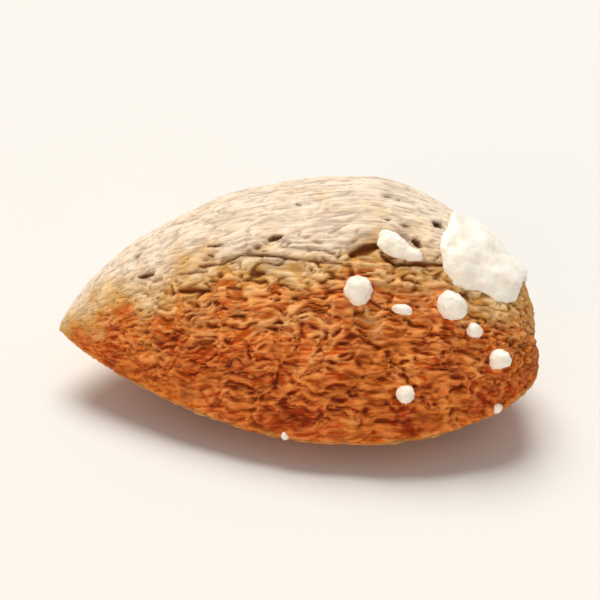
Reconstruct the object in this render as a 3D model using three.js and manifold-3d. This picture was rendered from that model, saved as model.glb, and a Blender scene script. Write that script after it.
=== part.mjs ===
// A whole almond in its shell, lying on its flank, with dried salt from its brine stuck to it.
//
// Units are millimetres and +Z is up. The nut lies along X, with its pointed tip towards -X and its stem end
// towards +X. The keel, which is the ventral suture, faces -Y, and the rounder dorsal edge faces +Y. The
// origin is on the surface that the nut rests on, under the middle of its outline.
//
// The shell is a loft. Two rails in the plane of the suture give its outline, the dorsal edge and the keel,
// and a third curve gives its half thickness. Each ring of a sphere geometry becomes one section between the
// rails, and the sphere's two poles become the tip and the stem scar. A place on the shell is therefore a
// station, from 0 at the tip to 1 at the stem, and an angle round the section, from 0 at the dorsal edge,
// through a quarter turn on the upper side, to a half turn at the keel.

import * as THREE from "three";
import { mergeVertices } from "three/addons/utils/BufferGeometryUtils.js";
import Module from "manifold-3d";

const wasm = await Module();
wasm.setup();

const TURN = 2 * Math.PI;
const degrees = THREE.MathUtils.degToRad;

// Driving dimensions of the nut.
const LENGTH = 36;
const DORSAL_WIDTH = 12.7; // from the long axis out to the dorsal edge
const KEEL_WIDTH = 10.1; // from the long axis out to the keel
const HALF_THICKNESS = 7.8; // from the plane of the suture to the thickest place
const WIDEST_X = 0.62 * LENGTH;
const WIDEST_STATION = 0.6;
const RIDGE_SHARE = 0.39; // of the width, from the dorsal edge to the thickest line
const KEEL_FULLNESS = 1.6; // how round the section stays on its way from the thickest line to the keel
const KEEL_SHARPNESS = 0.9; // 0.5 would close the section in a round edge, and 1 in a straight wedge
const STEM = new THREE.Vector2(0.994 * LENGTH, 0);

// The groove on each side of the keel, which leaves the keel standing as a crest.
const GROOVE = { depth: 0.45, angle: 0.46, halfWidth: 0.16, station: 0.55, halfReach: 0.36 };

// The dish that the stalk leaves in the stem end.
const SCAR = { depth: 0.8, radius: 2.2 };

// How the nut lies: rolled onto the flank beside its keel, with its tip a little low, on a small flat spot.
const REST_ROLL = degrees(22.5);
const REST_PITCH = degrees(3.5);
const FLAT_SPOT_DEPTH = 0.15;

// Fineness of the meshes.
const SHELL_RINGS = 44;
const SHELL_SEGMENTS = 68;

// The salt. Each piece has its place, its half length along the nut, its half width round it and its height.
// Its outline may bulge out to a few corners, and it may be turned on the shell, from along the nut towards
// the keel. Its foot follows the shell and is cut off at a share of its height, so that it sits, not stands.
const SALT_GAP = 0.06; // keeps the salt's solids clear of the shell's
const FOOT_SHARE = 0.3;
const CRUST = {
  station: 0.817, angle: 1.25, halfLength: 4.6, halfWidth: 3.3, height: 0.7,
  corners: 4, bulge: 0.12, turn: degrees(-34),
};
const FLAKE = {
  station: 0.662, angle: 1.655, halfLength: 1.8, halfWidth: 0.9, height: 0.6,
  corners: 3, bulge: 0.12, turn: degrees(20),
};
const GRAINS = [
  { station: 0.606, angle: 1.91, radius: 1.12 },
  { station: 0.736, angle: 1.957, radius: 1.12 },
  { station: 0.665, angle: 2, radius: 0.42, stretch: 2.1, turn: degrees(15) },
  { station: 0.77, angle: 2.1, radius: 0.58 },
  { station: 0.81, angle: 2.33, radius: 0.78, corners: 4, bulge: 0.07, turn: degrees(45) },
  { station: 0.666, angle: 2.495, radius: 0.68 },
  { station: 0.802, angle: 2.9, radius: 0.36 },
  { station: 0.49, angle: 3, radius: 0.32 },
];
const GRAIN_HEIGHT = 1.5; // of its radius

// A bell-shaped curve, 1 at the middle and nearly 0 two widths away.
const bell = (x, middle, width) => Math.exp(-(((x - middle) / width) ** 2));

// One rail: from the tip up to the widest place, where it runs level, and round to the stem end.
function rail(height, tipHandle, foreReach, aftReach, stemHandle, end = STEM) {
  const crest = new THREE.Vector2(WIDEST_X, height);
  const beforeCrest = new THREE.Vector2(WIDEST_X - foreReach, height);
  const afterCrest = new THREE.Vector2(WIDEST_X + aftReach, height);
  const beforeEnd = end.clone().add(stemHandle);
  const fore = new THREE.CubicBezierCurve(new THREE.Vector2(), tipHandle, beforeCrest, crest);
  const aft = new THREE.CubicBezierCurve(crest, afterCrest, beforeEnd, end);
  return (station) =>
    station < WIDEST_STATION
      ? fore.getPoint(station / WIDEST_STATION)
      : aft.getPoint((station - WIDEST_STATION) / (1 - WIDEST_STATION));
}

const at = (x, y) => new THREE.Vector2(x, y);
const dorsalRail = rail(DORSAL_WIDTH, at(3.4, 7.8), 9.8, 5.7, at(0, 5.2));
const keelRail = rail(-KEEL_WIDTH, at(4.4, -4.7), 9.4, 8, at(2.3, -6.2));
const thicknessRail = rail(HALF_THICKNESS, at(4, 4.2), 9, 8, at(0, 5.6), at(STEM.x, 0));

// The point of the shell's outside at a station and an angle, with the plane of the suture level.
function shellPoint(station, angle) {
  const dorsal = dorsalRail(station);
  const keel = keelRail(station);
  const halfThickness = thicknessRail(station).y;
  const across = Math.cos(angle);
  const reach = Math.abs(across);
  const flat = dorsal.clone().lerp(keel, RIDGE_SHARE).lerp(across > 0 ? dorsal : keel, reach);
  const rise = across > 0 ? Math.abs(Math.sin(angle)) : (1 - reach ** KEEL_FULLNESS) ** KEEL_SHARPNESS;
  const side = Math.sign(Math.sin(angle));

  const fromKeel = Math.abs(Math.PI - Math.abs(angle));
  const groove = GROOVE.depth * bell(fromKeel, GROOVE.angle, GROOVE.halfWidth)
    * bell(station, GROOVE.station, GROOVE.halfReach);
  const z = side * Math.max(0, halfThickness * rise - groove);

  const fromStem = Math.hypot(flat.y - STEM.y, z);
  const scar = station > WIDEST_STATION ? SCAR.depth * bell(fromStem, 0, SCAR.radius) : 0;
  return new THREE.Vector3(flat.x - scar, flat.y, z);
}

// The directions along the nut and round it at a place, each as long as one unit of station or of angle.
function tangents(station, angle) {
  const step = 1e-3;
  const slope = (s, a) => shellPoint(station + s, angle + a).sub(shellPoint(station - s, angle - a));
  return { along: slope(step, 0).divideScalar(2 * step), round: slope(0, step).divideScalar(2 * step) };
}

// A sphere geometry is a closed net of rings, so each of its points is moved to a place of its own.
function remap(rings, segments, place) {
  const geometry = new THREE.SphereGeometry(1, segments, rings);
  const position = geometry.getAttribute("position");
  for (let i = 0; i < position.count; i++) {
    const ring = Math.floor(i / (segments + 1));
    const segment = (i % (segments + 1)) % segments;
    position.setXYZ(i, ...place(ring / rings, segment / segments));
  }
  return geometry;
}

const shellGeometry = () =>
  remap(SHELL_RINGS, SHELL_SEGMENTS, (down, round) => {
    const angle = Math.PI - TURN * round;
    return shellPoint(down, angle);
  });

// A piece of salt that has dried onto the shell: a dome over a foot that keeps just clear of the shell.
function saltGeometry(shape, rings, segments) {
  const { station, angle, halfLength, halfWidth, height, corners = 0, bulge = 0, turn = 0 } = shape;
  const middle = tangents(station, angle);
  const centre = new THREE.Vector2();
  return remap(rings, segments, (down, round) => {
    const polar = Math.PI * down;
    const bearing = -TURN * round;
    const spread = Math.sin(polar) * (1 + bulge * Math.cos(corners * bearing));
    const out = new THREE.Vector2(halfLength * Math.cos(bearing), halfWidth * Math.sin(bearing))
      .multiplyScalar(spread)
      .rotateAround(centre, turn);
    const s = station + out.x / middle.along.length();
    const a = angle + out.y / middle.round.length();
    const { along, round: across } = tangents(s, a);
    const outward = across.cross(along).normalize();
    const lift = Math.max(0, (Math.cos(polar) + FOOT_SHARE) / (1 + FOOT_SHARE));
    return shellPoint(s, a).addScaledVector(outward, SALT_GAP + height * lift);
  });
}

// Moves a geometry from the level plane of the suture to the way the nut lies.
const laid = (geometry) => geometry.rotateX(REST_ROLL).rotateY(-REST_PITCH);

// A geometry as a closed solid whose points are shared between its triangles.
function solid(geometry) {
  geometry.deleteAttribute("normal");
  geometry.deleteAttribute("uv");
  const merged = mergeVertices(geometry);
  const vertProperties = new Float32Array(merged.getAttribute("position").array);
  const triVerts = new Uint32Array(merged.index.array);
  return new wasm.Manifold(new wasm.Mesh({ numProp: 3, vertProperties, triVerts }));
}

function fromSolid(manifold) {
  const { vertProperties, triVerts } = manifold.getMesh();
  const geometry = new THREE.BufferGeometry();
  geometry.setAttribute("position", new THREE.BufferAttribute(vertProperties, 3));
  geometry.setIndex(new THREE.BufferAttribute(triVerts, 1));
  geometry.computeVertexNormals();
  return geometry;
}

// The shell as it lies, with its lowest part cut level to make the flat spot.
function restingShell() {
  const geometry = laid(shellGeometry());
  geometry.computeBoundingBox();
  const floor = geometry.boundingBox.min.z + FLAT_SPOT_DEPTH;
  const below = new THREE.BoxGeometry(4 * LENGTH, 4 * LENGTH, LENGTH).translate(0, 0, floor - LENGTH / 2);
  return fromSolid(solid(geometry).subtract(solid(below)));
}

const shellMaterial = new THREE.MeshStandardMaterial({ color: 0xc08a55, roughness: 0.62, metalness: 0 });
const saltMaterial = new THREE.MeshStandardMaterial({ color: 0xf5efe6, roughness: 0.45, metalness: 0 });

function piece(name, geometry, material) {
  const mesh = new THREE.Mesh(geometry, material);
  mesh.name = name;
  return mesh;
}

const almond = new THREE.Group();
almond.add(piece("shell", restingShell(), shellMaterial));
almond.add(piece("salt_crust", laid(saltGeometry(CRUST, 14, 28)), saltMaterial));
almond.add(piece("salt_flake", laid(saltGeometry(FLAKE, 10, 18)), saltMaterial));
GRAINS.forEach(({ radius, stretch = 1, ...place }, i) => {
  const size = { halfLength: stretch * radius, halfWidth: radius, height: GRAIN_HEIGHT * radius };
  almond.add(piece(`salt_grain_${i + 1}`, laid(saltGeometry({ ...place, ...size }, 8, 12)), saltMaterial));
});

// The middle of the outline goes over the origin, and the flat spot onto the resting surface.
const box = new THREE.Box3().setFromObject(almond);
const middle = box.getCenter(new THREE.Vector3());
almond.position.set(-middle.x, -middle.y, -box.min.z);

export default almond;
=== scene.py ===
"""A whole almond in its shell, with salt from its brine dried onto it: the finished look, for Blender 4.5.

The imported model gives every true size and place. Each of its solids is copied, made fine and worked over.
The shell gets its grain, wrinkles, pores, keel crack and stem scar as real relief. Each piece of salt gets
its lumps and is sunk a little into that relief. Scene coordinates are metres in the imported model's frame.
Sizes that a person would measure on the nut are millimetres, which MM turns into metres.
"""

import logging
import math
from dataclasses import dataclass
from enum import Enum

import bmesh
import bpy
from mathutils import Matrix, Vector, noise
from mathutils.bvhtree import BVHTree


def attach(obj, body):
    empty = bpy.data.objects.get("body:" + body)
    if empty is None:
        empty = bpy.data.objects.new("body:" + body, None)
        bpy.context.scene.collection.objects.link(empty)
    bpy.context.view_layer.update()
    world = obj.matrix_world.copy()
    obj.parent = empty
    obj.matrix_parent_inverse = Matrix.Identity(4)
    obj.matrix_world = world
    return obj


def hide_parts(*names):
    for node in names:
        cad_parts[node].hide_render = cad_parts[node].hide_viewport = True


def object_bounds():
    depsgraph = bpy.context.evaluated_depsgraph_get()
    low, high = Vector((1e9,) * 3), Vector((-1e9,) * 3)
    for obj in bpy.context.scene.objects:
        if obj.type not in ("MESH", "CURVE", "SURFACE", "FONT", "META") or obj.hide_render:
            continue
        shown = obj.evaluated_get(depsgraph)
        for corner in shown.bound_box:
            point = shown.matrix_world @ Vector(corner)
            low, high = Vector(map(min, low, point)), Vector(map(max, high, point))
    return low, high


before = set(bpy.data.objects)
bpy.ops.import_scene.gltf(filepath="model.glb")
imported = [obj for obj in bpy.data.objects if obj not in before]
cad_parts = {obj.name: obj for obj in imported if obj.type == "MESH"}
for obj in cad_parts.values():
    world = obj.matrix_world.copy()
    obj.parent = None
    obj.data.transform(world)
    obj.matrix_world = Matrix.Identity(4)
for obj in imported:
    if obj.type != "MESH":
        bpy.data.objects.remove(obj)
CAD_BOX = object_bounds()

MM = 0.001
BODY = "root"
SMOOTHING_PASSES = 3
log = logging.getLogger("almond")


class Slot(Enum):
    """The record's material slots."""

    SHELL = "shell"
    SALT = "salt"


class Mark(Enum):
    """What the shell's relief leaves on each of its points, for its finish to read."""

    # How much of the pale bloom lies on a point: partly real dried brine, partly painted light on the upper
    # side as the nut lies.
    BLOOM_AND_LIGHT_SHARE = "bloom_and_light_share"
    # The mask of the painted shade in pores, slits, cracks, rifts, fine lines and the stem scar.
    HOLLOW_SHADE = "hollow"
    # The mask of the painted highlight on folds that stand up.
    CREST_HIGHLIGHT = "crest"
    FLOW = "flow"


def srgb(code: str) -> tuple[float, float, float, float]:
    """Turns an sRGB hex colour into the linear colour that shaders take.

    Args:
        code: the colour as #RRGGBB.

    Returns:
        Linear red, green and blue, and an alpha of 1.
    """
    shares = [int(code[i : i + 2], 16) / 255 for i in (1, 3, 5)]
    linear = [s / 12.92 if s <= 0.04045 else ((s + 0.055) / 1.055) ** 2.4 for s in shares]
    return (*linear, 1.0)


def add_node(
    tree: bpy.types.NodeTree,
    kind: str,
    inputs: dict | None = None,
    stops: dict[float, str] | None = None,
    **settings: object,
) -> bpy.types.Node:
    """Adds one shader node with its settings, its values and its links.

    Args:
        tree: the material's node tree.
        kind: the node's type name.
        inputs: socket name or number to a value, or to another node's output socket, which is then linked.
        stops: on a colour ramp, the sRGB hex colour at each of two or more places from 0 to 1, in order.
        settings: the node's own properties.

    Returns:
        The new node.
    """
    node = tree.nodes.new(kind)
    for name, value in settings.items():
        setattr(node, name, value)
    for key, value in (inputs or {}).items():
        if isinstance(value, bpy.types.NodeSocket):
            tree.links.new(value, node.inputs[key])
        else:
            node.inputs[key].default_value = value
    if stops:
        (first, first_code), *between, (last, last_code) = stops.items()
        ends = node.color_ramp.elements
        ends[0].position, ends[0].color = first, srgb(first_code)
        ends[1].position, ends[1].color = last, srgb(last_code)
        for position, code in between:
            ends.new(position).color = srgb(code)
    return node


def empty_material(name: str) -> bpy.types.Material:
    """Makes a material whose node tree is empty.

    Args:
        name: the material's name.

    Returns:
        The material.
    """
    material = bpy.data.materials.new(name)
    material.use_nodes = True
    material.node_tree.nodes.clear()
    return material


def bell(x: float, width: float) -> float:
    """A bell-shaped curve: 1 at 0, and nearly 0 at two widths."""
    return math.exp(-((x / width) ** 2))


def ramp(x: float, low: float, high: float) -> float:
    """A smooth step from 0 at low to 1 at high."""
    t = min(1.0, max(0.0, (x - low) / (high - low)))
    return t * t * (3 - 2 * t)


def copy_solid(name: str) -> bpy.types.Mesh:
    """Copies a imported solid's mesh and joins its loose triangles.

    Args:
        name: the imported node's name.

    Returns:
        A new closed mesh, in metres.
    """
    bm = bmesh.new()
    bm.from_mesh(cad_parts[name].data)
    bmesh.ops.remove_doubles(bm, verts=bm.verts, dist=0.001 * MM)
    bmesh.ops.recalc_face_normals(bm, faces=bm.faces)
    mesh = bpy.data.meshes.new(name + "_fine")
    bm.to_mesh(mesh)
    bm.free()
    return mesh


def remesh(mesh: bpy.types.Mesh, voxel: float) -> bpy.types.Mesh:
    """Rebuilds a closed mesh from even quads.

    Args:
        mesh: the closed mesh.
        voxel: the length of a quad's side, in metres.

    Returns:
        The new mesh; the old one is removed.
    """
    holder = bpy.data.objects.new("blank", mesh)
    bpy.context.scene.collection.objects.link(holder)
    modifier = holder.modifiers.new("even_quads", "REMESH")
    modifier.mode = "VOXEL"
    modifier.voxel_size = voxel
    depsgraph = bpy.context.evaluated_depsgraph_get()
    made = bpy.data.meshes.new_from_object(holder.evaluated_get(depsgraph))
    bpy.data.objects.remove(holder)
    bpy.data.meshes.remove(mesh)
    return made


def smoothed(mesh: bpy.types.Mesh) -> bmesh.types.BMesh:
    """Opens a remeshed solid for work, with the steps that the voxels left smoothed away.

    Args:
        mesh: the remeshed solid.

    Returns:
        A new bmesh with its normals up to date, which the caller frees.
    """
    bm = bmesh.new()
    bm.from_mesh(mesh)
    for _ in range(SMOOTHING_PASSES):
        bmesh.ops.smooth_vert(
            bm, verts=bm.verts, factor=0.5, use_axis_x=True, use_axis_y=True, use_axis_z=True
        )
    bm.normal_update()
    return bm


def show(name: str, mesh: bpy.types.Mesh, material: bpy.types.Material) -> bpy.types.Object:
    """Puts a finished mesh in the scene as a smooth-shaded object.

    Args:
        name: the object's name.
        mesh: its mesh, in place.
        material: its finish.

    Returns:
        The object, at the origin.
    """
    mesh.materials.clear()
    mesh.materials.append(material)
    mesh.shade_smooth()
    piece = bpy.data.objects.new(name, mesh)
    bpy.context.scene.collection.objects.link(piece)
    return piece


@dataclass(frozen=True)
class NutAxes:
    """The nut's own axes, in millimetres.

    They run along from the tip, across to the dorsal edge, and up off the plane of the suture.
    """

    tip: Vector
    roll: float = math.radians(22.5)
    pitch: float = math.radians(3.5)
    length: float = 36.0
    widest: float = 22.3  # from the tip
    ridge: float = 3.8  # the thickest line, across from the long axis at the widest place
    dorsal_reach: float = 8.9  # from the thickest line out to the dorsal edge
    keel_reach: float = 13.9  # from the thickest line out to the keel
    half_thickness: float = 7.8
    gather: float = 0.35  # how far the fibres close up with the nut: 0 not at all, 1 all the way
    least_fullness: float = 0.08  # keeps them apart at the tip and the stem end
    turn_in: float = 6.0  # how far from the widest place they have fully turned in to the ends

    def turn(self) -> Matrix:
        """The turn from the nut's own axes to how it lies."""
        return Matrix.Rotation(-self.pitch, 3, "Y") @ Matrix.Rotation(self.roll, 3, "X")

    def fullness(self, along: float) -> float:
        """How wide the nut is at a place along it.

        Args:
            along: how far the place is from the tip.

        Returns:
            A share of the nut's greatest width, from 0 to 1.
        """
        if along < self.widest:
            return math.sin(math.pi / 2 * max(0.0, along / self.widest) ** 0.7)
        rest = min(1.0, (along - self.widest) / (self.length - self.widest))
        return math.sqrt(1 - rest * rest)

    def across(self, own: Vector) -> float:
        """How far a place is from the thickest line: towards the dorsal edge, or below 0 towards the keel."""
        return own.y - self.ridge * self.fullness(own.x)

    def spread(self, own: Vector) -> float:
        """How closely the fibres lie at a place.

        Args:
            own: the place on the nut's own axes.

        Returns:
            1 where the section is as full as at the widest place, and more towards the ends.
        """
        across = self.across(own)
        reach = self.dorsal_reach if across > 0 else self.keel_reach
        full = max(self.least_fullness, math.hypot(across / reach, own.z / self.half_thickness))
        return (self.gather + (1 - self.gather) * full) / full

    def flow(self, own: Vector) -> Vector:
        """A place as the fibres see it: they run along the nut and close up towards the tip and the stem.

        Args:
            own: the place on the nut's own axes.

        Returns:
            The distance along the fibres, and the two distances across them.
        """
        spread = self.spread(own)
        full = self.gather / (spread - (1 - self.gather))
        towards_end = min(1.0, max(-1.0, (own.x - self.widest) / self.turn_in))
        along = own.x + self.half_thickness * (1 - full) * towards_end
        return Vector((along, self.across(own) * spread, own.z * spread))


@dataclass(frozen=True)
class Slit:
    """A pore or crack in the upper side, as a stroke between two places, in millimetres along and across."""

    start: tuple[float, float]
    end: tuple[float, float]
    half_width: float = 0.15
    depth: float = 0.2
    clearance: float = 1.0  # beyond its ends it has no effect

    def near(self, own: Vector) -> bool:
        """Whether a place on the nut's own axes is near enough for the slit to reach it."""
        return own.z > 0 and self.start[0] - self.clearance < own.x < self.end[0] + self.clearance

    def cut(self, along: float, across: float) -> float:
        """How much of its depth the slit has at a place.

        Args:
            along: how far the place is from the tip.
            across: how far it is from the long axis, towards the dorsal edge.

        Returns:
            From 0 off the slit to 1 on its middle line. It narrows to half its width at its ends.
        """
        ax, ay = self.start
        dx, dy = self.end[0] - ax, self.end[1] - ay
        t = ((along - ax) * dx + (across - ay) * dy) / max(dx * dx + dy * dy, 1e-9)
        t = min(1.0, max(0.0, t))
        gap = math.hypot(along - ax - t * dx, across - ay - t * dy)
        return bell(gap, self.half_width * (1 - 0.5 * abs(2 * t - 1)))


SLITS = (
    # The open pores, from the tip to the stem end.
    Slit((5.7, 4.0), (6.1, 4.1), 0.2, 0.14),
    Slit((6.2, 2.0), (7.2, 2.0), 0.24, 0.28),
    Slit((9.0, 6.4), (9.4, 6.4)),
    Slit((11.4, 3.4), (12.2, 3.3)),
    Slit((11.5, 2.6), (11.9, 2.4)),
    Slit((12.3, 0.8), (12.6, 0.8), 0.18),
    Slit((14.7, 0.7), (15.6, 0.7), 0.26, 0.28),
    Slit((16.0, 3.3), (16.8, 3.5), 0.26, 0.3),
    Slit((17.9, 6.8), (18.2, 6.6)),
    Slit((24.6, 4.8), (24.9, 4.8)),
    Slit((25.3, 7.1), (25.6, 7.2)),
    Slit((26.6, 3.2), (27.1, 2.7), 0.26, 0.35),
    Slit((28.2, 5.1), (28.6, 4.8), 0.36, 0.4),
    # The gash beside the flake of salt, and the crack that runs on from it.
    Slit((22.1, 1.8), (24.1, 2.6), 0.38, 0.5),
    Slit((24.3, 1.8), (25.3, 1.2), 0.2, 0.3),
    Slit((25.3, 1.2), (29.0, 1.4), 0.2, 0.3),
    # The fine lines where the pale bloom ends.
    Slit((9.0, 1.5), (11.4, 1.3), 0.14, 0.14),
    Slit((9.3, 0.3), (11.6, -0.1), 0.2, 0.28),
    Slit((10.8, 1.8), (12.3, 1.7), 0.16, 0.18),
    Slit((12.3, 1.7), (13.9, 2.2), 0.16, 0.18),
    Slit((13.0, -0.1), (14.0, -0.3), 0.16, 0.2),
    Slit((13.9, 2.2), (16.1, 2.0), 0.16, 0.18),
    Slit((16.1, 2.0), (18.3, 1.5), 0.16, 0.18),
    Slit((16.9, 2.6), (19.7, 2.2), 0.14, 0.12),
    Slit((18.3, 1.5), (21.4, 1.1), 0.14, 0.16),
    Slit((20.4, 3.5), (21.5, 4.2), 0.14, 0.12),
)


@dataclass(frozen=True)
class Grain:
    """A random pattern in a finish, by its real size: the length and width of a patch, in millimetres."""

    length: float
    width: float
    detail: float
    waver: float = 0.0

    def field(
        self, tree: bpy.types.NodeTree, place: bpy.types.NodeSocket, unit: float = 1.0
    ) -> bpy.types.NodeSocket:
        """Lays the pattern out.

        Args:
            tree: the material's node tree.
            place: the place on the piece.
            unit: how long a millimetre is there.

        Returns:
            A socket whose value is about 0.5, and goes up and down from patch to patch.
        """
        along, across = 1 / (self.length * unit), 1 / (self.width * unit)
        inputs = {"Vector": place, "Scale": (along, across, across)}
        spot = add_node(tree, "ShaderNodeMapping", inputs).outputs[0]
        inputs = {"Vector": spot, "Scale": 1.0, "Detail": self.detail, "Distortion": self.waver}
        return add_node(tree, "ShaderNodeTexNoise", inputs).outputs["Fac"]


@dataclass(frozen=True)
class ShellFinish:
    """A roasted soft almond shell: a fibrous, woody hull, brined and dried, so it is matt all over.

    The brine leaves a pale film where it dried, on the side that lay up; that paleness on top is partly
    painted light from above. The bare fibre below it is rust orange, darker low on the flank as painted
    shade, with tan ridges as painted highlights and red-brown hollows as painted shade.
    """

    # The ground runs from low to the bloom's colour with the bloom's share. The pale end is partly real dried
    # brine and partly painted light on the upper side. Low, the deepest rust far down the flank, is partly
    # the fibre's own colour and partly painted shade.
    low: str = "#B83E00"
    bare: str = "#E05E06"
    amber: str = "#D07818"  # patches where the fibre has stayed yellow
    middle: str = "#DFA552"
    sand: str = "#EDCB9C"
    bloom_and_top_light: str = "#F4DFC7"
    # Painted shade in hollows and clefts, from bare fibre to covered in bloom.
    hollow_shade_bare: str = "#681A00"
    hollow_shade_middle: str = "#7C420E"
    hollow_shade_bloom: str = "#563214"
    # Painted highlights on crests and raised strands.
    crest_highlight_low: str = "#F69246"
    crest_highlight_bare: str = "#FFB062"
    crest_highlight_middle: str = "#F4D09A"
    dusk: str = "#802C14"  # patches where the fibre has darkened

    fibres: Grain = Grain(length=3.0, width=0.22, detail=2.0, waver=0.4)
    strands: Grain = Grain(length=1.2, width=0.3, detail=1.0, waver=0.6)  # they stand up between the wrinkles
    yellowed: Grain = Grain(length=4.0, width=4.0, detail=3.0)
    blotches: Grain = Grain(length=2.5, width=2.5, detail=4.0)  # where the fibre took up more or less brine
    grit: Grain = Grain(length=0.15, width=0.15, detail=2.0)  # of dried salt

    patchiness: float = 0.8  # how much the blotches change the bloom
    line_share: float = 0.8  # how strongly the fibres are drawn in the colour
    relief_height: float = 0.06  # of the fibres, strands and grit, in millimetres

    def material(self) -> bpy.types.Material:
        """Builds the finish.

        Returns:
            The material.
        """
        material = empty_material("roasted_almond_shell")
        tree = material.node_tree
        nodes = {mark: add_node(tree, "ShaderNodeAttribute", attribute_name=mark.value) for mark in Mark}
        marks = {mark: nodes[mark].outputs["Vector" if mark is Mark.FLOW else "Fac"] for mark in Mark}
        flow = marks[Mark.FLOW]
        place = add_node(tree, "ShaderNodeTexCoord").outputs["Object"]
        fields = {grain: grain.field(tree, flow) for grain in (self.fibres, self.strands, self.yellowed)}
        fields |= {grain: grain.field(tree, place, MM) for grain in (self.blotches, self.grit)}
        fibres, strands, grit = (fields[grain] for grain in (self.fibres, self.strands, self.grit))

        inputs = {"Value": grit, "To Min": 0.5, "To Max": 0.75}
        rough = add_node(tree, "ShaderNodeMapRange", inputs).outputs[0]
        height = grit
        for field, share in ((fibres, 1.2), (strands, 0.7)):
            inputs = {0: field, 1: share, 2: height}
            height = add_node(tree, "ShaderNodeMath", inputs, operation="MULTIPLY_ADD").outputs[0]
        inputs = {"Height": height, "Strength": 0.7, "Distance": self.relief_height * MM}
        bump = add_node(tree, "ShaderNodeBump", inputs).outputs[0]
        inputs = {
            "Base Color": self.colour(tree, marks, fields),
            "Roughness": rough,
            "Normal": bump,
            "IOR": 1.5,
            "Specular IOR Level": 0.12,
        }
        shader = add_node(tree, "ShaderNodeBsdfPrincipled", inputs)
        add_node(tree, "ShaderNodeOutputMaterial", {"Surface": shader.outputs[0]})
        return material

    def colour(
        self,
        tree: bpy.types.NodeTree,
        marks: dict[Mark, bpy.types.NodeSocket],
        fields: dict[Grain, bpy.types.NodeSocket],
    ) -> bpy.types.NodeSocket:
        """Works out the shell's colour.

        Args:
            tree: the material's node tree.
            marks: what the relief left on each point.
            fields: the finish's patterns.

        Returns:
            The colour's socket.
        """
        bloom_and_light_share = marks[Mark.BLOOM_AND_LIGHT_SHARE]
        fibres, strands = fields[self.fibres], fields[self.strands]
        blotches, yellowed = fields[self.blotches], fields[self.yellowed]

        # The colour of level fibre, of what stands up (painted highlight) and of what lies deep (painted
        # shade), from bare to covered in bloom.
        spread = add_node(tree, "ShaderNodeMath", {0: blotches, 1: 0.5}, operation="SUBTRACT").outputs[0]
        inputs = {0: spread, 1: self.patchiness, 2: bloom_and_light_share}
        patchy = add_node(
            tree, "ShaderNodeMath", inputs, operation="MULTIPLY_ADD", use_clamp=True
        ).outputs[0]
        stops = {0.0: self.low, 0.15: self.bare, 0.45: self.middle, 0.7: self.sand, 0.95: self.bloom_and_top_light}
        ground = add_node(tree, "ShaderNodeValToRGB", {"Fac": patchy}, stops).outputs[0]
        # Paler colours laid on what stands up: painted highlights.
        stops = {0.0: self.crest_highlight_low, 0.15: self.crest_highlight_bare, 0.5: self.crest_highlight_middle, 0.9: self.bloom_and_top_light}
        high = add_node(tree, "ShaderNodeValToRGB", {"Fac": patchy}, stops).outputs[0]
        # Darker colours laid in what lies deep: painted shade.
        stops = {0.0: self.hollow_shade_bare, 0.5: self.hollow_shade_middle, 0.9: self.hollow_shade_bloom}
        deep_shade = add_node(tree, "ShaderNodeValToRGB", {"Fac": bloom_and_light_share}, stops).outputs[0]

        # What shows only on bare fibre: its pattern, the values where it starts and is full, and its most.
        inputs = {"Value": bloom_and_light_share, "From Min": 0.5, "From Max": 0.1}
        bare = add_node(tree, "ShaderNodeMapRange", inputs).outputs[0]
        shares = []
        for field, start, full, most in (
            (blotches, 0.44, 0.32, 0.6),
            (yellowed, 0.48, 0.62, 0.5),
            # These two rows are a painted highlight where the strands stand up and painted shade in the
            # clefts beside them.
            (strands, 0.5, 0.61, 0.46),
            (strands, 0.46, 0.34, 0.38),
        ):
            inputs = {"Value": field, "From Min": start, "From Max": full, "To Max": most}
            reach = add_node(tree, "ShaderNodeMapRange", inputs).outputs[0]
            inputs = {0: reach, 1: bare}
            shares.append(add_node(tree, "ShaderNodeMath", inputs, operation="MULTIPLY").outputs[0])
        dusky, yellow, raised_highlight, cleft_shade = shares

        inputs = {"Value": fibres, "From Min": 0.3, "From Max": 0.62, "To Min": 0.62, "To Max": 1.12}
        lines = add_node(tree, "ShaderNodeMapRange", inputs).outputs[0]
        colour = ground
        for share, over, blend in (
            (dusky, srgb(self.dusk), "MIX"),
            (yellow, srgb(self.amber), "MIX"),
            (self.line_share, lines, "MULTIPLY"),
            # The next four rows lay painted highlights on raised strands and crests, and painted shade in
            # clefts and hollows.
            (raised_highlight, high, "MIX"),
            (cleft_shade, deep_shade, "MIX"),
            (marks[Mark.CREST_HIGHLIGHT], high, "MIX"),
            (marks[Mark.HOLLOW_SHADE], deep_shade, "MIX"),
        ):
            inputs = {"Factor": share, 6: colour, 7: over}
            colour = add_node(
                tree, "ShaderNodeMix", inputs, data_type="RGBA", blend_type=blend
            ).outputs[2]
        return colour


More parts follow.
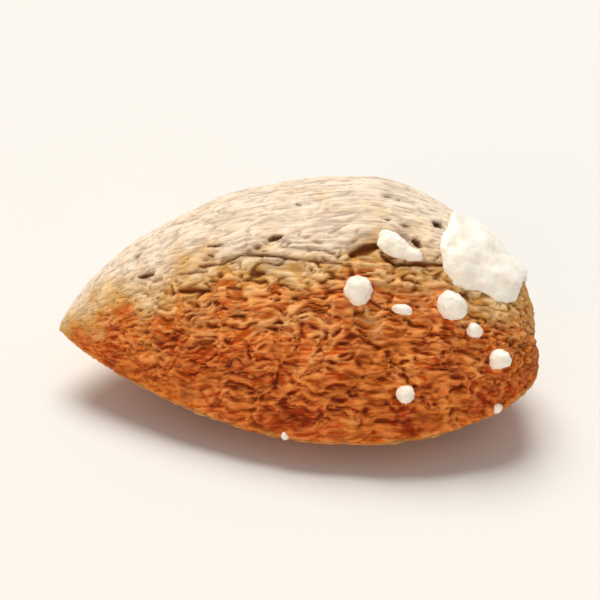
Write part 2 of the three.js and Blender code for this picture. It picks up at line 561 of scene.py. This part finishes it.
@dataclass(frozen=True)
class SaltFinish:
    """Table salt dried from brine: a crust of fine crystals, so it is white, milky and finely rough."""

    salt: str = "#FDF5E8"
    shade: str = "#F6E0C6"
    crystal: float = 0.2  # across, in millimetres
    relief_height: float = 0.06  # of the crystals, in millimetres
    depth: float = 0.3  # how deep light goes into it, in millimetres
    stains: Grain = Grain(length=1.0, width=1.0, detail=3.0)  # from the shell

    def material(self) -> bpy.types.Material:
        """Builds the finish.

        Returns:
            The material.
        """
        material = empty_material("dried_brine_salt")
        tree = material.node_tree
        place = add_node(tree, "ShaderNodeTexCoord").outputs["Object"]
        inputs = {"Vector": place, "Scale": 1 / (self.crystal * MM)}
        crystals = add_node(tree, "ShaderNodeTexVoronoi", inputs).outputs["Distance"]
        inputs = {"Value": self.stains.field(tree, place, MM), "From Min": 0.5, "From Max": 0.75}
        share = add_node(tree, "ShaderNodeMapRange", inputs).outputs[0]
        inputs = {"Factor": share, 6: srgb(self.salt), 7: srgb(self.shade)}
        colour = add_node(tree, "ShaderNodeMix", inputs, data_type="RGBA").outputs[2]
        inputs = {"Height": crystals, "Strength": 0.35, "Distance": self.relief_height * MM}
        bump = add_node(tree, "ShaderNodeBump", inputs).outputs[0]
        inputs = {
            "Base Color": colour,
            "Roughness": 0.42,
            "Normal": bump,
            "IOR": 1.54,
            "Subsurface Weight": 0.2,
            "Subsurface Scale": self.depth * MM,
        }
        shader = add_node(tree, "ShaderNodeBsdfPrincipled", inputs)
        add_node(tree, "ShaderNodeOutputMaterial", {"Surface": shader.outputs[0]})
        return material


@dataclass(frozen=True)
class Strands:
    """A set of short wandering strands that end and begin again. Sizes are in millimetres."""

    length: float  # of their bends
    gap: float  # from one to the next
    wander: float  # how closely they follow the drift
    start: tuple[float, float, float] = (0.0, 0.0, 0.0)  # where in the noise they are, apart from other sets

    def at(self, flow: Vector, drift: Vector) -> float:
        """How high the strands stand at a place.

        Args:
            flow: the place as the fibres see it.
            drift: which way the fibres wander there.

        Returns:
            From 0 between them to 1 on the middle of a strand.
        """
        place = Vector((flow.x / self.length, flow.y / self.gap, flow.z / self.gap))
        place += drift * self.wander + Vector(self.start)
        unbroken = ramp(noise.noise(place * 0.9 + Vector((3.0, 8.0, 5.0))), -0.3, 0.1)
        return unbroken * ramp(abs(noise.noise(place)), 0.3, 0.0)


@dataclass(frozen=True)
class BloomAndTopLight:
    """Where the pale film of dried brine lies, partly painted light from above. Sizes are in millimetres."""

    edge: tuple[float, float] = (-7.4, 2.6)  # where it ends and is full, across from the thickest line
    foot: tuple[float, float] = (0.5, 8.7)  # where it ends and is full, in height as the nut lies, which paints light on the upper side
    bends: tuple[tuple[float, float], ...] = ((1.9, 4.5), (0.8, 1.3))  # reach and length of its edge's bends
    foot_bend: float = 1.3  # how much more its foot bends than its edge
    crest_highlight_reach: float = 0.4  # how much further it comes where a strand stands up, as a painted highlight on the crests
    stem_reach: float = 1.1  # and beside the stem end
    stem_side: tuple[float, float] = (27.0, 34.0)  # where it starts to, and is full, from the tip
    stem_thinning: float = 0.45  # the share of it that is missing on the stem end
    stem_end: tuple[float, float] = (31.5, 35.5)  # where it starts to thin, and is thinnest, from the tip
    keel_share: float = 0.45  # how pale the keel's crest is made, as a share of the full bloom
    keel_width: float = 0.25
    dust_and_top_light: float = 0.15  # the least paleness on the upper part of the nut: partly salt dust, partly painted light from above
    dust_and_top_light_rise: tuple[float, float] = (5.0, 11.0)  # where that starts and is full, in height as the nut lies

    def share(self, own: Vector, across: float, level: float, crest: float, flank: float) -> float:
        """How much of the pale film, partly painted light from above, lies on a place.

        Args:
            own: the place on the nut's own axes.
            across: how far it is from the thickest line.
            level: how high it is, as the nut lies.
            crest: how far the place stands up.
            flank: how far it is down the flank towards the keel.

        Returns:
            A share from 0, bare, to 1, covered.
        """
        drift = sum(reach * noise.noise(own / length) for reach, length in self.bends)
        drift += self.crest_highlight_reach * crest
        reach = across + drift + self.stem_reach * ramp(own.x, *self.stem_side)
        above = ramp(reach, *self.edge) * ramp(level + self.foot_bend * drift, *self.foot)
        above *= 1 - self.stem_thinning * ramp(own.x, *self.stem_end)
        keel = self.keel_share * bell(own.z, self.keel_width) * flank
        return min(1.0, max(self.dust_and_top_light * ramp(level, *self.dust_and_top_light_rise), above, keel))


@dataclass(frozen=True)
class StemScar:
    """The scar that the stalk left: a rough rim, a fibrous dish and a hole. Sizes are in millimetres."""

    radius: float = 2.3
    fray: float = 0.25  # how uneven the rim is, as a share of the radius
    rim_height: float = 0.2
    rim_width: float = 0.35
    spoke_height: float = 0.16  # of the fibres that run in to the hole
    hole_radius: float = 0.55
    hole_depth: float = 0.7

    def relief(self, own: Vector) -> tuple[float, float]:
        """The scar's relief at a place towards the stem end.

        Args:
            own: the place on the nut's own axes.

        Returns:
            Its height, and how much of a hollow it is, from 0 to 1.
        """
        out = math.hypot(own.y, own.z)
        if out > 2 * self.radius:
            return 0.0, 0.0
        round_it = math.atan2(own.z, own.y)
        fray = noise.noise(Vector((3 * math.cos(round_it), 3 * math.sin(round_it), out / 1.5)))
        reach = self.radius * (1 + self.fray * fray)
        spokes = noise.noise(Vector((6 * math.cos(round_it), 6 * math.sin(round_it), out / 0.8)))
        inside = ramp(reach - out, -0.2, 0.5)
        hole = bell(out, self.hole_radius)
        height = self.rim_height * bell(out - reach, self.rim_width) + self.spoke_height * spokes * inside
        height -= self.hole_depth * hole
        return height, min(1.0, max(hole, inside * (0.45 + 0.5 * spokes)))


@dataclass
class Shell:
    """The nut's woody shell, with its grain, wrinkles, pores, keel and scar. Sizes are in millimetres."""

    axes: NutAxes
    voxel: float = 0.159
    lump_height: float = 0.28
    line_depth: float = 0.07
    line_length: float = 5.0
    line_gap: float = 0.55
    pore_depth: float = 0.22
    pore_spacing: tuple[float, float] = (3.0, 1.5)  # along the fibres and across them
    keel_crack_depth: float = 0.22
    keel_crack_width: float = 0.1
    fold_height: float = 0.19
    rift_depth: float = 0.21
    flank_edge: tuple[float, float] = (1.5, -3.5)  # where it starts and is full, across as the bloom's edge
    crown_folds: float = 0.25  # how strong the folds and rifts are on the crown, as a share of the flank's
    keel_calm: float = 0.6  # the share of the folds that is missing on the keel's crest
    keel_calm_width: float = 1.1
    drift_bend: float = 1.8  # the length of the bends in which the fibres wander
    broad_folds: Strands = Strands(length=1.9, gap=0.66, wander=1.0)
    fine_folds: Strands = Strands(length=1.2, gap=0.5, wander=1.2)
    rifts: Strands = Strands(length=1.7, gap=0.62, wander=1.1, start=(7.0, 3.0, 1.0))
    bloom_and_top_light: BloomAndTopLight = BloomAndTopLight()
    scar: StemScar = StemScar()
    seed: int = 3  # of the drift

    def build(self) -> bpy.types.Object:
        """Makes the fine shell.

        Returns:
            The shell's object.
        """
        mesh = remesh(copy_solid("shell"), self.voxel * MM)
        bm = smoothed(mesh)
        marks = self.carve(bm)
        bm.to_mesh(mesh)
        bm.free()
        for mark, values in marks.items():
            if mark is Mark.FLOW:
                mesh.attributes.new(mark.value, "FLOAT_VECTOR", "POINT").data.foreach_set("vector", values)
            else:
                mesh.attributes.new(mark.value, "FLOAT", "POINT").data.foreach_set("value", values)
        mesh.name = "almond_shell"
        return show("almond_shell", mesh, ShellFinish().material())

    def carve(self, bm: bmesh.types.BMesh) -> dict[Mark, list[float]]:
        """Moves every point of the shell by its relief.

        Args:
            bm: the smooth shell.

        Returns:
            Each mark's values, point by point.
        """
        noise.seed_set(self.seed)  # without it the strands' drift would follow the clock
        marks: dict[Mark, list[float]] = {mark: [] for mark in Mark}
        back = self.axes.turn().transposed()
        moved = []
        for vert in bm.verts:
            own = back @ (vert.co - self.axes.tip) / MM
            side = back @ vert.normal
            flow = self.axes.flow(own)
            across = self.axes.across(own)
            flank = ramp(across, *self.flank_edge)
            height, hollow, crest = self.relief(own, side, flow, flank)
            marks[Mark.BLOOM_AND_LIGHT_SHARE].append(self.bloom_and_top_light.share(own, across, vert.co.z / MM, crest, flank))
            marks[Mark.HOLLOW_SHADE].append(hollow)
            marks[Mark.CREST_HIGHLIGHT].append(crest)
            marks[Mark.FLOW].extend(flow)
            moved.append(vert.co + vert.normal * height * MM)
        for vert, place in zip(bm.verts, moved):
            vert.co = place
            vert.co.z = max(vert.co.z, 0.0)  # what would press into the surface is flat against it
        return marks

    def relief(self, own: Vector, side: Vector, flow: Vector, flank: float) -> tuple[float, float, float]:
        """The shell's relief at one place.

        Args:
            own: the place on the nut's own axes.
            side: the way that the shell faces there, on the same axes.
            flow: the place on axes that run together at the ends.
            flank: how far it is down the flank towards the keel.

        Returns:
            The height in millimetres, how much of a hollow it is, and how much of a crest, both from 0 to 1.
        """
        calm = self.keel_calm * bell(own.z, self.keel_calm_width) * flank
        share = (self.crown_folds + (1 - self.crown_folds) * flank - calm) / self.axes.spread(own)
        drift = noise.noise_vector(flow / self.drift_bend)
        fold = max(self.broad_folds.at(flow, drift), 0.8 * self.fine_folds.at(flow, drift))
        rift = self.rifts.at(flow, drift) * (1 - fold)
        lines = self.lines(flow, drift * 0.35)
        pore = self.pores(flow)
        slit = max((cut.depth * cut.cut(own.x, own.y) for cut in SLITS if cut.near(own)), default=0.0)
        crack = self.keel_crack(own, side)
        scar_height, scar_hollow = self.scar.relief(own) if own.x > self.axes.widest else (0.0, 0.0)

        height = self.swell(own) + share * (self.fold_height * fold - self.rift_depth * rift)
        height -= self.line_depth * lines + self.pore_depth * pore + slit + self.keel_crack_depth * crack
        rift_hollow = min(1.0, 1.25 * share * rift)
        # A hollow's share is also how much painted shade its colour gets.
        hollow = max(pore, min(1.0, 6.0 * slit), 0.8 * crack, scar_hollow, rift_hollow, 0.45 * lines)
        # A crest's share is also how much painted highlight its colour gets.
        return height + scar_height, hollow, min(1.0, 1.1 * share * fold) * (1 - hollow)

    def swell(self, own: Vector) -> float:
        """How far the shell's broad lumps stand up at a place, in millimetres."""
        return self.lump_height * (noise.noise(own / 7.0) + 0.5 * noise.noise(own / 3.4))

    def lines(self, flow: Vector, drift: Vector) -> float:
        """The long fine lines along the nut, from 0 between them to 1 on them."""
        place = Vector((flow.x / self.line_length, flow.y / self.line_gap, flow.z / self.line_gap)) + drift
        return max(0.0, 1 - abs(noise.noise(place)) / 0.18)

    def pores(self, flow: Vector) -> float:
        """The scattered small pores.

        Args:
            flow: the place as the fibres see it.

        Returns:
            From 0 between them to 1 in the middle of a pore. Most places where one could be have none.
        """
        along, across = self.pore_spacing
        spot = Vector((flow.x / along, flow.y / across, flow.z / across))
        distances, points = noise.voronoi(spot)
        if noise.noise(points[0] * 7.3) < 0.08:
            return 0.0
        return bell(distances[0], 0.16)

    def keel_crack(self, own: Vector, side: Vector) -> float:
        """The fine crack along the crest of the keel, where the two halves of the shell meet.

        Args:
            own: the place on the nut's own axes.
            side: the way that the shell faces there, on the same axes.

        Returns:
            From 0 beside it to 1 on it.
        """
        wander = 0.12 * noise.noise(Vector((own.x / 1.4, 0.0, 5.0)))
        facing = ramp(-side.y, 0.3, 0.8)
        return bell(own.z - wander, self.keel_crack_width) * facing * ramp(own.x, 1.0, 4.0)


@dataclass
class SaltPiece:
    """One piece of dried salt, sunk a little into the finished shell. Sizes are in millimetres."""

    node: str
    voxel: float = 0.08
    sink: float = 0.18
    lump: float = 0.8
    lump_height: float = 0.1
    edge_drift: float = 0.0  # how far its edge dips and lifts along the shell
    seed: float = 0.0  # tells its lumps from those of other pieces

    def build(self, shell: Shell, ground: BVHTree, material: bpy.types.Material) -> bpy.types.Object:
        """Makes the piece.

        Args:
            shell: the shell that it lies on.
            ground: the shell's surface before its relief.
            material: the salt's finish.

        Returns:
            The piece's object.
        """
        mesh = remesh(copy_solid(self.node), self.voxel * MM)
        bm = smoothed(mesh)
        back = shell.axes.turn().transposed()
        moved = []
        for vert in bm.verts:
            _, up, _, _ = ground.find_nearest(vert.co)
            spot = vert.co / MM + Vector((self.seed,) * 3)
            small = noise.noise(spot / (0.4 * self.lump))
            lumps = self.lump_height * (noise.noise(spot / self.lump) + 0.35 * small)
            lift = shell.swell(back @ (vert.co - shell.axes.tip) / MM) - self.sink
            lift -= self.edge_drift * noise.noise(spot / 1.6)
            moved.append(vert.co + (vert.normal * lumps + up * lift) * MM)
        for vert, place in zip(bm.verts, moved):
            vert.co = place
        bm.to_mesh(mesh)
        bm.free()
        mesh.name = "dried_" + self.node
        return show("dried_" + self.node, mesh, material)


@dataclass
class Studio:
    """A plain pale floor, soft light and the camera."""

    middle: Vector
    elevation: float = math.radians(33.5)
    tilt: float = math.radians(3.3)
    lens: float = 250.0
    reach: float = 44.9 * MM  # how much of the surface the picture spans

    def build(self) -> None:
        """Makes the floor, the lights and the camera."""
        self.floor()
        self.lights()
        self.camera()

    def floor(self) -> None:
        """The pale surface that the nut lies on."""
        bm = bmesh.new()
        bmesh.ops.create_grid(bm, x_segments=1, y_segments=1, size=2.0)
        mesh = bpy.data.meshes.new("floor")
        bm.to_mesh(mesh)
        bm.free()
        # A matt laminate scatters light evenly, so the surface is a soft, plain white with no reflections.
        material = bpy.data.materials.new("matt_white_laminate")
        material.use_nodes = True
        shader = material.node_tree.nodes["Principled BSDF"]
        shader.inputs["Base Color"].default_value = srgb("#E6E4E0")
        shader.inputs["Roughness"].default_value = 0.8
        show("floor", mesh, material)

    def lamp(self, name: str, way: Vector, spread: float, strength: float, colour: str) -> None:
        """Adds one far soft light, which is the same all over the floor.

        Args:
            name: the light's name.
            way: the direction from the nut to the light.
            spread: how wide the light looks from the nut, in degrees.
            strength: in watts per square metre.
            colour: as #RRGGBB.
        """
        light = bpy.data.lights.new(name, "SUN")
        light.angle = math.radians(spread)
        light.energy = strength
        light.color = srgb(colour)[:3]
        lamp = bpy.data.objects.new(name, light)
        lamp.location = self.middle + way
        lamp.rotation_euler = way.to_track_quat("Z", "Y").to_euler()
        bpy.context.scene.collection.objects.link(lamp)

    def lights(self) -> None:
        """A large soft light above, a weak warm one in front, and a pale room that is brightest low down."""
        self.lamp("softbox", Vector((-0.15, 0.45, 1.0)), 38.0, 2.8, "#FFFDF8")
        self.lamp("warm_fill", Vector((-0.5, -1.0, 0.35)), 42.0, 0.7, "#FFDDB8")
        world = bpy.data.worlds.new("pale_room")
        world.use_nodes = True
        room = world.node_tree.nodes["Background"]
        room.inputs["Color"].default_value = srgb("#FFFFFF")
        way = add_node(world.node_tree, "ShaderNodeTexCoord").outputs["Generated"]
        up = add_node(world.node_tree, "ShaderNodeSeparateXYZ", {0: way}).outputs["Z"]
        steep = add_node(world.node_tree, "ShaderNodeMath", {0: up}, operation="ABSOLUTE").outputs[0]
        inputs = {"Value": steep, "From Min": 0.08, "From Max": 0.3, "To Min": 0.82, "To Max": 0.34}
        strength = add_node(world.node_tree, "ShaderNodeMapRange", inputs).outputs[0]
        world.node_tree.links.new(strength, room.inputs["Strength"])
        bpy.context.scene.world = world
        bpy.context.scene.view_settings.view_transform = "Standard"

    def camera(self) -> None:
        """A long lens that looks down on the nut's upper flank."""
        data = bpy.data.cameras.new("camera")
        data.lens = self.lens
        distance = self.reach * self.lens / data.sensor_width
        data.clip_start, data.clip_end = 0.01, 100 * distance
        camera = bpy.data.objects.new("camera", data)
        back = Vector((0.0, -math.cos(self.elevation), math.sin(self.elevation)))
        camera.location = self.middle + back * distance
        turn = back.to_track_quat("Z", "Y").to_matrix() @ Matrix.Rotation(self.tilt, 3, "Z")
        camera.rotation_euler = turn.to_euler()
        bpy.context.scene.collection.objects.link(camera)
        bpy.context.scene.camera = camera


SALT = (
    SaltPiece("salt_crust", voxel=0.09, sink=0.2, lump=1.2, lump_height=0.13, edge_drift=0.3),
    SaltPiece("salt_flake", voxel=0.07, lump=0.7, lump_height=0.12, edge_drift=0.2),
    *(SaltPiece(f"salt_grain_{i}", voxel=0.06, lump_height=0.15, seed=3.1 * i) for i in range(1, 9)),
)


def hand_over(piece: bpy.types.Object, node: str) -> None:
    """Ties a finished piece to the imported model.

    Args:
        piece: the finished piece.
        node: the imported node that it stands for.
    """
    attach(piece, BODY)
    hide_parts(node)
    log.info("%s: %d faces", piece.name, len(piece.data.polygons))


def main() -> None:
    """Builds the studio around the imported model's middle, then the shell and the salt."""
    logging.basicConfig(level=logging.INFO, format="%(name)s: %(message)s")
    low, high = CAD_BOX
    Studio((low + high) / 2).build()
    tip = min((v.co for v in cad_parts["shell"].data.vertices), key=lambda co: co.x).copy()
    shell = Shell(NutAxes(tip))
    hand_over(shell.build(), "shell")
    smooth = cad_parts["shell"].data
    ground = BVHTree.FromPolygons([v.co for v in smooth.vertices], [p.vertices for p in smooth.polygons])
    salt = SaltFinish().material()
    for piece in SALT:
        hand_over(piece.build(shell, ground, salt), piece.node)


if __name__ == "__main__":
    main()
